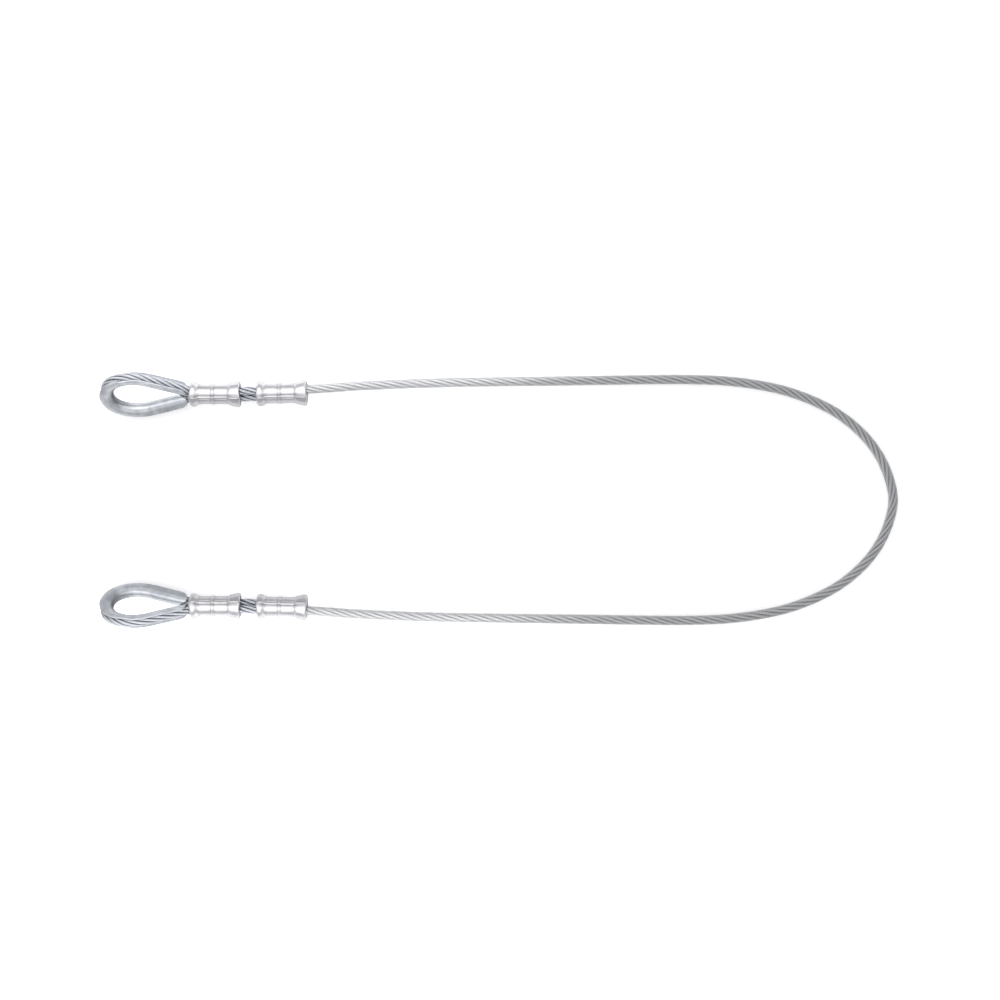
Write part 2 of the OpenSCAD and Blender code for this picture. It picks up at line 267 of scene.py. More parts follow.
def strand_mesh(c, t, n1, n2, s, phase, hand, helix, radius, lay, wires, per, wire_lay, seed, wobble=0.0, soft=0.0):
    """Vertices, faces and attributes of one strand wound on a centreline."""
    a = hand * (phase + TAU * s / lay)
    e = np.cos(a)[:, None] * n1 + np.sin(a)[:, None] * n2
    g = -np.sin(a)[:, None] * n1 + np.cos(a)[:, None] * n2
    lead = unit(t + hand * helix * TAU / lay * g)
    f = unit(np.cross(lead, e))
    ang, rad = wire_section(wires, per, radius)
    rad = rad + (radius - rad) * soft
    tw = -hand * TAU * s / wire_lay
    centre = c + helix * e
    if wobble:
        lw = np.interp(s, np.linspace(s[0], s[-1], 40), seed.normal(0, wobble, 40))
        centre = centre + lw[:, None] * f
    th = ang[None, :] + tw[:, None]
    v = centre[:, None, :] + rad[None, :, None] * (np.cos(th)[..., None] * e[:, None, :] + np.sin(th)[..., None] * f[:, None, :])
    rows, cols = v.shape[:2]
    v = v.reshape(-1, 3)
    d = v.reshape(rows, cols, 3) - c[:, None, :]
    d = d - (d * t[:, None, :]).sum(-1, keepdims=True) * t[:, None, :]
    dist = np.linalg.norm(d, axis=-1)
    # painted shade: crest runs from 0 on a strand's side towards the rope's axis to 1 on its outer crest, and groove
    # from 0 in the valleys between wires to 1 on a wire's top; the wire material darkens the colour by both
    crest = np.clip((dist - (helix - radius * 0.05)) / (radius * 1.05), 0, 1)
    groove = (rad - rad.min()) / max(rad.max() - rad.min(), 1e-9)
    wire_id = np.floor_divide(np.arange(cols), per).astype(float)
    lay_attr = np.stack([np.repeat(s[:, None], cols, 1), np.repeat(ang[None, :] * radius, rows, 0),
                         np.repeat(wire_id[None, :], rows, 0)], -1).reshape(-1, 3)
    faces = grid_faces(rows, cols)
    # closed ends
    v = np.concatenate([v, centre[:1], centre[-1:]])
    i0, i1 = rows * cols, rows * cols + 1
    faces += [(i0, (k + 1) % cols, k) for k in range(cols)]
    faces += [(i1, (rows - 1) * cols + k, (rows - 1) * cols + (k + 1) % cols) for k in range(cols)]
    crest = np.concatenate([crest.ravel(), [0.6, 0.6]])
    gro = np.concatenate([np.repeat(groove[None, :], rows, 0).ravel(), [1, 1]])
    lay_attr = np.concatenate([lay_attr, [[s[0], 0, 0], [s[-1], 0, 0]]])
    rings = [range(cols), range((rows - 1) * cols, rows * cols)]
    return v, faces, {"crest": crest, "groove": gro, "lay": lay_attr}, rings


def join(parts):
    verts, faces, attrs, rings, base = [], [], {}, [], 0
    for v, f, a, g in parts:
        verts.append(v)
        faces += [tuple(i + base for i in q) for q in f]
        rings += [[i + base for i in ring] for ring in g]
        for k, x in a.items():
            attrs.setdefault(k, []).append(x)
        base += len(v)
    return np.concatenate(verts), faces, {k: np.concatenate(x) for k, x in attrs.items()}, rings


# ---------------------------------------------------------------- materials
def new_material(name):
    m = bpy.data.materials.new(name)
    m.use_nodes = True
    nt = m.node_tree
    return m, nt, nt.nodes["Principled BSDF"]


class Kit:
    """Short names for making nodes."""

    def __init__(self, nt):
        self.nt = nt

    def node(self, kind, **settings):
        n = self.nt.nodes.new(kind)
        for k, v in settings.items():
            setattr(n, k, v)
        return n

    def link(self, a, b):
        self.nt.links.new(a, b)

    def attr(self, name, out="Fac"):
        return self.node("ShaderNodeAttribute", attribute_name=name).outputs[out]

    def coords(self, scale=(1, 1, 1)):
        tc = self.node("ShaderNodeTexCoord")
        mp = self.node("ShaderNodeMapping")
        mp.inputs["Scale"].default_value = scale
        self.link(tc.outputs["Object"], mp.inputs["Vector"])
        return mp.outputs["Vector"]

    def scaled(self, vector, scale):
        mp = self.node("ShaderNodeMapping")
        mp.inputs["Scale"].default_value = scale
        self.link(vector, mp.inputs["Vector"])
        return mp.outputs["Vector"]

    def noise(self, vector, scale, detail=4.0, rough=0.55, distortion=0.0):
        n = self.node("ShaderNodeTexNoise")
        n.inputs["Scale"].default_value = scale
        n.inputs["Detail"].default_value = detail
        n.inputs["Roughness"].default_value = rough
        n.inputs["Distortion"].default_value = distortion
        self.link(vector, n.inputs["Vector"])
        return n.outputs["Fac"]

    def voronoi(self, vector, scale, feature="F1", out="Distance"):
        n = self.node("ShaderNodeTexVoronoi", feature=feature)
        n.inputs["Scale"].default_value = scale
        self.link(vector, n.inputs["Vector"])
        return n.outputs[out]

    def ramp(self, fac, stops):
        r = self.node("ShaderNodeValToRGB")
        cr = r.color_ramp
        while len(cr.elements) > 1:
            cr.elements.remove(cr.elements[0])
        cr.elements[0].position = stops[0][0]
        cr.elements[0].color = (*stops[0][1], 1)
        for pos, col in stops[1:]:
            e = cr.elements.new(pos)
            e.color = (*col, 1)
        self.link(fac, r.inputs["Fac"])
        return r.outputs["Color"]

    def map(self, value, a, b, c, d):
        n = self.node("ShaderNodeMapRange")
        for k, v in zip(("From Min", "From Max", "To Min", "To Max"), (a, b, c, d)):
            n.inputs[k].default_value = v
        self.link(value, n.inputs["Value"])
        return n.outputs["Result"]

    def math(self, op, a, b=None):
        n = self.node("ShaderNodeMath", operation=op)
        for i, x in enumerate((a, b)):
            if x is None:
                continue
            if isinstance(x, (int, float)):
                n.inputs[i].default_value = x
            else:
                self.link(x, n.inputs[i])
        return n.outputs[0]

    def mix(self, fac, a, b, blend="MIX"):
        n = self.node("ShaderNodeMix", data_type="RGBA", blend_type=blend)
        for slot, x in ((0, fac), (6, a), (7, b)):
            if isinstance(x, (int, float)):
                n.inputs[slot].default_value = x
            elif isinstance(x, tuple):
                n.inputs[slot].default_value = (*x, 1)
            else:
                self.link(x, n.inputs[slot])
        return n.outputs[2]

    def bump(self, height, strength, distance, normal=None):
        b = self.node("ShaderNodeBump")
        b.inputs["Strength"].default_value = strength
        b.inputs["Distance"].default_value = distance
        self.link(height, b.inputs["Height"])
        if normal is not None:
            self.link(normal, b.inputs["Normal"])
        return b.outputs["Normal"]


def wire_material(name, bright, mid, dark, rough, metallic=1.0, groove_shade=0.35):
    m, nt, p = new_material(name)
    k = Kit(nt)
    lay = k.attr("lay", "Vector")
    streak = k.noise(k.scaled(lay, (0.12, 2.2, 3.7)), 2.0, 5, 0.6)
    patch = k.noise(k.scaled(lay, (0.05, 0.2, 1.3)), 1.0, 2, 0.5)
    crest = k.attr("crest")
    # painted shade: the wire colour runs from dark on a strand's side towards the core, through mid, to bright on
    # its outer crest
    body = k.ramp(crest, [(0.0, dark), (0.42, mid), (0.8, bright), (1.0, bright)])
    # painted shade: the colour is darkened further in the valleys between wires, down to the given factor at the
    # bottom of a valley
    groove = k.map(k.attr("groove"), 0.0, 0.7, groove_shade, 1.0)
    shade = k.math("MULTIPLY", k.map(streak, 0.3, 0.7, 0.86, 1.06), k.map(patch, 0.3, 0.7, 0.92, 1.05))
    shade = k.math("MULTIPLY", shade, groove)
    grey = k.node("ShaderNodeCombineColor")
    for i in range(3):
        k.link(shade, grey.inputs[i])
    colour = k.mix(1.0, body, grey.outputs[0], "MULTIPLY")
    k.link(colour, p.inputs["Base Color"])
    p.inputs["Metallic"].default_value = metallic
    k.link(k.map(streak, 0.25, 0.75, rough - 0.07, rough + 0.12), p.inputs["Roughness"])
    k.link(k.bump(streak, 0.25, 0.00006), p.inputs["Normal"])
    return m


def galvanised_material():
    m, nt, p = new_material("galvanised_steel")
    k = Kit(nt)
    co = k.coords()
    warp = k.noise(co, 90, 3, 0.5)
    cells = k.voronoi(co, 260, out="Color")
    sep = k.node("ShaderNodeSeparateColor")
    k.link(cells, sep.inputs[0])
    drift = k.noise(co, 210, 3, 0.55, 0.6)
    spangle = k.math("ADD", k.math("MULTIPLY", sep.outputs[0], 0.16), k.math("MULTIPLY", k.math("ADD", warp, drift), 0.46))
    fine = k.noise(co, 900, 4, 0.6)
    body = k.ramp(spangle, [(0.32, (0.45, 0.475, 0.515)), (0.52, (0.57, 0.592, 0.625)), (0.72, (0.68, 0.695, 0.72))])
    stain = k.ramp(k.noise(co, 45, 5, 0.65), [(0.38, (0.86, 0.87, 0.88)), (0.6, (1, 1, 1))])
    colour = k.mix(1.0, body, stain, "MULTIPLY")
    # painted shade: the flange rims (edge) are darkened towards dark grey
    colour = k.mix(k.math("MULTIPLY", k.attr("edge"), 0.85), colour, (0.30, 0.315, 0.345))
    # painted shade: the inside of the crown (inward) is darkened towards near black
    colour = k.mix(k.attr("inward"), colour, (0.13, 0.135, 0.15))
    k.link(colour, p.inputs["Base Color"])
    p.inputs["Metallic"].default_value = 0.78
    p.inputs["Specular Tint"].default_value = (0.6, 0.61, 0.63, 1)
    k.link(k.map(k.math("ADD", spangle, fine), 0.5, 1.4, 0.33, 0.50), p.inputs["Roughness"])
    height = k.math("ADD", k.math("MULTIPLY", warp, 0.7), k.math("MULTIPLY", fine, 0.3))
    k.link(k.bump(height, 0.35, 0.00025), p.inputs["Normal"])
    return m


def aluminium_material():
    m, nt, p = new_material("pressed_aluminium")
    k = Kit(nt)
    lay = k.attr("lay", "Vector")
    co = k.coords()
    drag = k.noise(k.scaled(lay, (2.2, 0.18, 1)), 1.0, 5, 0.6)
    cloud = k.noise(co, 160, 4, 0.55)
    fine = k.noise(co, 1500, 3, 0.6)
    body = k.ramp(cloud, [(0.3, (0.535, 0.530, 0.556)), (0.55, (0.59, 0.585, 0.607)), (0.75, (0.64, 0.635, 0.652))])
    # painted shade: the sleeve is darkened in the creases beside its fins, at its ring edges and flare steps, and
    # inside the bore
    crease_shade = k.ramp(k.attr("crease"), [(0.0, (1, 1, 1)), (1.0, (0.30, 0.295, 0.31))])
    colour = k.mix(1.0, body, crease_shade, "MULTIPLY")
    k.link(colour, p.inputs["Base Color"])
    p.inputs["Metallic"].default_value = 0.9
    p.inputs["Specular Tint"].default_value = (0.42, 0.42, 0.44, 1)
    k.link(k.map(k.math("ADD", drag, fine), 0.6, 1.4, 0.34, 0.48), p.inputs["Roughness"])
    height = k.math("ADD", k.math("MULTIPLY", drag, 0.6), k.math("MULTIPLY", fine, 0.25))
    k.link(k.bump(height, 0.18, 0.00012), p.inputs["Normal"])
    return m


def sheath_material():
    m, nt, p = new_material("clear_sheath")
    k = Kit(nt)
    lay = k.attr("lay", "Vector")
    flow = k.noise(k.scaled(lay, (0.04, 0.5, 1)), 1.0, 3, 0.5)
    scuff = k.noise(k.scaled(lay, (0.5, 1.5, 1)), 2.0, 5, 0.65)
    body = k.ramp(flow, [(0.3, (0.62, 0.63, 0.645)), (0.7, (0.70, 0.705, 0.715))])
    k.link(body, p.inputs["Base Color"])
    k.link(k.map(scuff, 0.3, 0.75, 0.14, 0.3), p.inputs["Roughness"])
    k.link(k.map(flow, 0.3, 0.7, 0.18, 0.25), p.inputs["Alpha"])
    p.inputs["IOR"].default_value = 1.53
    p.inputs["Coat Weight"].default_value = 0.6
    p.inputs["Coat Roughness"].default_value = 0.12
    k.link(k.bump(flow, 0.2, 0.0003), p.inputs["Normal"])
    return m


def seam_material():
    m, nt, p = new_material("sheath_seam")
    k = Kit(nt)
    k.link(k.map(k.noise(k.coords(), 50), 0, 1, 0, 0), p.inputs["Alpha"])
    p.inputs["Base Color"].default_value = (0.85, 0.86, 0.88, 1)
    return m


def core_material():
    m, nt, p = new_material("wire_core")
    k = Kit(nt)
    co = k.coords()
    n = k.noise(co, 700, 4, 0.6)
    k.link(k.ramp(n, [(0.3, (0.10, 0.105, 0.12)), (0.7, (0.28, 0.29, 0.32))]), p.inputs["Base Color"])
    p.inputs["Metallic"].default_value = 1.0
    k.link(k.map(n, 0.3, 0.7, 0.4, 0.6), p.inputs["Roughness"])
    k.link(k.bump(n, 0.4, 0.0002), p.inputs["Normal"])
    return m


def floor_material():
    m, nt, p = new_material("pale_floor")
    k = Kit(nt)
    n = k.noise(k.coords(), 6, 3, 0.5)
    k.link(k.ramp(n, [(0.0, (0.93, 0.93, 0.93)), (1.0, (0.96, 0.96, 0.96))]), p.inputs["Base Color"])
    p.inputs["Roughness"].default_value = 0.9
    p.inputs["Specular IOR Level"].default_value = 0.1
    p.inputs["Emission Color"].default_value = (1, 1, 1, 1)
    p.inputs["Emission Strength"].default_value = 0.46
    return m


BARE = wire_material("bare_wire", (0.56, 0.575, 0.615), (0.30, 0.315, 0.36), (0.05, 0.055, 0.07), 0.29, groove_shade=0.5)
COVERED = wire_material("covered_wire", (0.80, 0.805, 0.82), (0.52, 0.53, 0.555), (0.09, 0.095, 0.115), 0.38, groove_shade=0.85)
ZINC = galvanised_material()
ALU = aluminium_material()
SHEATH = sheath_material()
CORE = core_material()
SEAM = seam_material()
FLOOR = floor_material()


# ---------------------------------------------------------------- run of rope and sheath, in four lengths
def s_of(index):
    """Arc length of a route point on side a."""
    p = np.array(ROUTE[index], float)
    p[0] += SHIFT
    return float(RUN_S[np.argmin(np.linalg.norm(RUN - p, axis=1))])


S_MID = s_of(8)
LENGTHS = [
    ("mouth_a", 0.0, S_MID, ("eye_a", "leg_a"), ("mouth_a", "flex_a", "leg_a")),
    ("turn_a", S_MID, RUN_LEN / 2, ("leg_a", "bend"), ("turn_a", "bend")),
    ("turn_b", RUN_LEN / 2, RUN_LEN - S_MID, ("bend", "leg_b"), ("turn_b", "bend")),
    ("mouth_b", RUN_LEN - S_MID, RUN_LEN, ("leg_b", "eye_b"), ("mouth_b", "flex_b", "leg_b")),
]


def blend_run(ob, name):
    if name in ("mouth_a", "turn_a"):
        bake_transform(ob)
    else:
        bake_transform(ob)


for name, s0, s1, bodies, nodes in LENGTHS:
    # rope
    n = int(round((s1 - s0) / 1.6))
    s = np.linspace(s0, s1, n + 1)
    c, t, side, up = run_at(s)
    parts = []
    for j in range(6):
        parts.append(strand_mesh(c, t, side, up, s, j * TAU / 6, 1, COVERED_HELIX, COVERED_STRAND, LAY, 9, 2, 20.4,
                                 np.random.default_rng(50 + j), soft=0.55))
    core = []
    th = np.arange(8) * TAU / 8
    cv = c[:, None, :] + 1.15 * (np.cos(th)[None, :, None] * side[:, None, :] + np.sin(th)[None, :, None] * up[:, None, :])
    rows = len(s)
    cf = grid_faces(rows, 8) + [tuple(range(7, -1, -1)), tuple((rows - 1) * 8 + i for i in range(8))]
    # the core takes the darkest, painted-shade end of the wire colour (crest and groove 0)
    parts.append((cv.reshape(-1, 3), cf, {"crest": np.zeros(rows * 8), "groove": np.zeros(rows * 8),
                                         "lay": np.repeat(np.stack([s, s * 0, s * 0], 1), 8, 0)},
                  [range(8), range((rows - 1) * 8, rows * 8)]))
    v, f, a, rings = join(parts)
    rope = make_mesh(f"run_rope_{name}", v, f, a, sharp_rings=rings)
    rope.data.materials.append(COVERED)
    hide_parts(*[f"run_rope_{x}" for x in nodes])
    # sheath: a closed thin shell
    n = int(round((s1 - s0) / 2.5))
    s = np.linspace(s0, s1, n + 1)
    c, t, side, up = run_at(s)
    cols = 28
    th = np.arange(cols) * TAU / cols
    ring = np.cos(th)[None, :, None] * side[:, None, :] + np.sin(th)[None, :, None] * up[:, None, :]
    r_out = np.full(len(s), SHEATH_R - 0.01)
    r_in = np.full(len(s), BORE_R)
    for end, pos in ((0.0, s0), (RUN_LEN, s1)):
        if abs(pos - end) < 1e-6:  # the cut end is slightly rounded
            d = np.abs(s - end)
            r_out = r_out - 0.15 * np.clip(1 - d / 1.5, 0, 1) ** 2
    outer = c[:, None, :] + r_out[:, None, None] * ring
    inner = c[:, None, :] + r_in[:, None, None] * ring
    rows = len(s)
    v = np.concatenate([outer.reshape(-1, 3), inner.reshape(-1, 3)])
    o = rows * cols
    f = grid_faces(rows, cols) + [tuple(reversed(q)) for q in grid_faces(rows, cols, o)]
    f += [(k, o + k, o + (k + 1) % cols, (k + 1) % cols) for k in range(cols)]
    e0 = (rows - 1) * cols
    f += [(e0 + (k + 1) % cols, o + e0 + (k + 1) % cols, o + e0 + k, e0 + k) for k in range(cols)]
    lay_attr = np.tile(np.stack([np.repeat(s[:, None], cols, 1), np.repeat((np.sin(th) * 4)[None, :], rows, 0),
                                 np.repeat((np.cos(th) * 4)[None, :], rows, 0)], -1).reshape(-1, 3), (2, 1))
    sheath = make_mesh(f"run_sheath_{name}", v, f, {"lay": lay_attr},
                       sharp_rings=[range(cols), range(e0, e0 + cols), range(o, o + cols), range(o + e0, o + e0 + cols)])
    sheath.data.materials.append(SHEATH)
    sheath.data.materials.append(SEAM)
    # the walls where one length passes into the next are not seen
    which = np.zeros(len(f), int)
    if s0 > 0:
        which[-2 * cols:-cols] = 1
    if s1 < RUN_LEN:
        which[-cols:] = 1
    sheath.data.polygons.foreach_set("material_index", which)
    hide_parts(*[f"run_sheath_{x}" for x in nodes])
    blend_run(rope, name)
    blend_run(sheath, name)


# ---------------------------------------------------------------- thimble
def thimble_section(h, splay, crest, band=2.0, n_arc=12, n_flange=7):
    """Half of the channel's section (q >= 0), from the outer crest over the rim to the inner crest.
    p points away from the opening, q along the eye's normal. crest is the extra thickness at the bottom."""
    r_out, r_in = GROOVE_R + WALL, GROOVE_R
    cut = math.sqrt(r_out ** 2 - band ** 2)
    if h >= 0.3:
        outer = [(-r_out * math.cos(a) - crest, r_out * math.sin(a)) for a in np.linspace(0, math.pi / 2, n_arc + 1)]
        inner = [(-r_in * math.cos(a), r_in * math.sin(a)) for a in np.linspace(0, math.pi / 2, n_arc + 1)]
        for j in range(1, n_flange + 1):
            t = j / n_flange
            outer.append((-crest + (h + crest) * t, r_out + (splay - 0.35) * t ** 1.6))
            inner.append((h * t, r_in + splay * t ** 1.6))
    else:
        # towards a tip the flanges run out into the round of the groove
        a_end = math.pi / 2 - (0.3 - h) / (r_in + WALL / 2)
        n = n_arc + n_flange
        outer = [(-r_out * math.cos(a) - crest, r_out * math.sin(a)) for a in np.linspace(0, a_end, n + 1)]
        inner = [(-r_in * math.cos(a), r_in * math.sin(a)) for a in np.linspace(0, a_end, n + 1)]
    outer = [(max(x, -cut - crest - 0.22 * (1 - (y / band) ** 2)) if y < band else x, y) for x, y in outer]
    (ox, oy), (ix, iy) = outer[-1], inner[-1]
    mx, my, dx, dy = (ox + ix) / 2, (oy + iy) / 2, (ox - ix) / 2, (oy - iy) / 2
    w = math.hypot(dx, dy)
    lx, ly = dy / w, -dx / w
    if h >= 0.3 and lx < 0:
        lx, ly = -lx, -ly
    # edge marks the rounded rim of the flange, which the material darkens as painted shade
    half, edge = list(outer), [0.0] * len(outer)
    for j in range(1, 6):
        a = math.pi * j / 6
        half.append((mx + dx * math.cos(a) + lx * w * math.sin(a), my + dy * math.cos(a) + ly * w * math.sin(a)))
        edge.append(1.0)
    half += inner[::-1]
    edge += [0.0] * len(inner)
    return half, edge


def thimble_mesh(name, side):
    limb = LIMB_L + 1.0
    shoulder = arc(SHOULDER_R, LIMB_TURN)
    crown = 2 * arc(CHEEK_R, CHEEK_TURN) + arc(NOSE_R, 180 - 2 * CHEEK_TURN)
    total = 2 * (limb + shoulder) + crown
    start = sum(p[0] for p in PIECES[:4]) - 1.0
    ends = [0, 0.12, 0.3, 0.55, 0.9, 1.3, 1.8, 2.4, 3.1, 3.9, 4.8, 5.8, 7.0]
    ls = np.concatenate([ends, np.linspace(8.2, total - 8.2, 130), total - np.array(ends[::-1])])
    rows, edge_rows, crown_shade_rows = [], [], []
    for l in ls:
        d = min(l, total - l)
        # height of the flange: deepest at the crown, lowest at the shoulders
        mid = abs(l - total / 2)
        h = np.interp(mid, [0, crown * 0.12, crown * 0.28, crown * 0.46, crown / 2 + shoulder * 0.5, crown / 2 + shoulder + 4, total / 2], [2.9, 2.4, 1.5, 1.2, 1.7, 2.3, 2.7])
        if l < total / 2:
            h -= 1.05 * float(smoothstep(mid, crown * 0.08, crown * 0.36))
        splay = float(np.interp(mid, [0, crown * 0.3, crown / 2, crown / 2 + shoulder, total / 2], [-0.2, -0.1, 0.1, 0.6, 0.8]))
        t = min(d / 7.5, 1.0)
        h = -4.2 + (h + 4.2) * math.sqrt(max(1 - (1 - t) ** 2.1, 0))
        splay *= min(d / 7.5, 1.0) ** 0.5
        crest = float(np.interp(mid, [crown / 2 - 6, crown / 2 + shoulder, total / 2], [CREST_EXTRA, 0.5, -0.2]))
        band = float(np.interp(mid, [crown * 0.3, crown / 2 + 4], [2.0, 1.0]))
        half, edge = thimble_section(h, splay, crest, band)
        loop = half + [(x, -y) for x, y in half[::-1]][1:-1]
        # painted shade on the flange rims: the q < 0 rim in full, the q >= 0 rim at 0.45
        ed = [0.45 * e for e in edge] + edge[::-1][1:-1]
        x0, y0, a0 = eye_state(start + l)
        nx, ny = math.sin(a0), -math.cos(a0)
        row = []
        for i, (p, q) in enumerate(loop):
            # the end is cut round like a tongue, so the crest side ends sooner than the flank
            back = 6.2 * (1 - min(abs(q) / 5.3, 1.0)) ** 1.25 * max(1 - d / 16.0, 0) ** 1.5 if p < 0 else 0.0
            if back:
                x1, y1, a1 = eye_state(start + (l + back if l < total / 2 else l - back))
                row.append((x1 + math.sin(a1) * (p + SEAT), y1 - math.cos(a1) * (p + SEAT), q))
            else:
                row.append((x0 + nx * (p + SEAT), y0 + ny * (p + SEAT), q))
        rows.append(row)
        edge_rows.append(ed)
        # painted shade on the inside of the crown: darkest about its middle, fading towards the shoulders and
        # towards the rims
        w = float(np.interp(l - total / 2, [-crown * 0.42, -crown * 0.2, 0, crown * 0.2, crown * 0.36, crown * 0.56], [0.0, 0.8, 1.0, 0.9, 0.55, 0.0]))
        crown_shade_rows.append([w * float(1 - smoothstep(abs(q), 2.2, 5.6)) if p < -1.0 - 0.5 * abs(q) else 0.0 for p, q in loop])
    rows = np.array(rows)
    m, n = rows.shape[:2]
    v = to_row(rows.reshape(-1, 3), side)
    f = grid_faces(m, n)
    half_n = (n + 2) // 2

    def strips(ring):
        out, a, b = [], 0, len(ring) - 1
        while b - a > 2:
            out.append((ring[a], ring[a + 1], ring[b - 1], ring[b]))
            a, b = a + 1, b - 1
        if b - a == 2:
            out.append((ring[a], ring[a + 1], ring[b]))
        return out

    def cap(base, flip):
        out = strips([base + i for i in range(half_n)]) + strips([base + i for i in [half_n - 1] + list(range(half_n, n)) + [0]])
        return [tuple(reversed(q)) for q in out] if flip else out

    f += cap(0, True) + cap((m - 1) * n, False)
    if side < 0:
        f = [tuple(reversed(q)) for q in f]
    return make_mesh(name, v, f, {"edge": np.array(edge_rows).ravel(), "inward": np.array(crown_shade_rows).ravel()}, sharp_deg=50)


# ---------------------------------------------------------------- pressed sleeves
def outline_at(x):
    pts = [(0, 8.3), (0.4, 8.95), (1.0, 9.4), (1.9, 9.72), (2.9, 9.75), (4.2, 9.3), (5.5, 8.45), (6.8, 7.85), (8.5, 7.7), (10.5, 7.65),
           (15.4, 7.65), (16.2, 7.78), (16.9, 8.15), (17.5, 8.35), (18.1, 8.18), (18.8, 7.78), (19.6, 7.65), (28.3, 7.65), (29.0, 7.75),
           (29.8, 8.3), (31.0, 8.88), (32.5, 9.3), (34.5, 9.75), (36.2, 10.13), (37.0, 10.24), (37.6, 10.1), (38.05, 9.7), (38.3, 9.2)]
    px, pr = np.array([p[0] for p in pts]), np.array([p[1] for p in pts])
    # monotone cubic
    d = np.diff(pr) / np.diff(px)
    m = np.concatenate([[d[0]], np.where(d[1:] * d[:-1] > 0, 2 * d[1:] * d[:-1] / (d[1:] + d[:-1] + 1e-12), 0), [d[-1]]])
    x = np.asarray(x, float)
    i = np.clip(np.searchsorted(px, x, side="right") - 1, 0, len(px) - 2)
    h = px[i + 1] - px[i]
    t = (x - px[i]) / h
    return (2 * t ** 3 - 3 * t ** 2 + 1) * pr[i] + (t ** 3 - 2 * t ** 2 + t) * h * m[i] + (-2 * t ** 3 + 3 * t ** 2) * pr[i + 1] + (t ** 3 - t ** 2) * h * m[i + 1]


def twin_radius(th, half, r, web):
    c, s = np.abs(np.cos(th)), np.abs(np.sin(th))
    q = r * r - (half * s) ** 2
    a = half * c + np.sqrt(np.maximum(q, 0))
    a = np.where(q < 0, 0, a)
    b = np.where(web / np.maximum(s, 1e-6) * c <= half, web / np.maximum(s, 1e-6), 0)
    return np.maximum(a, b)


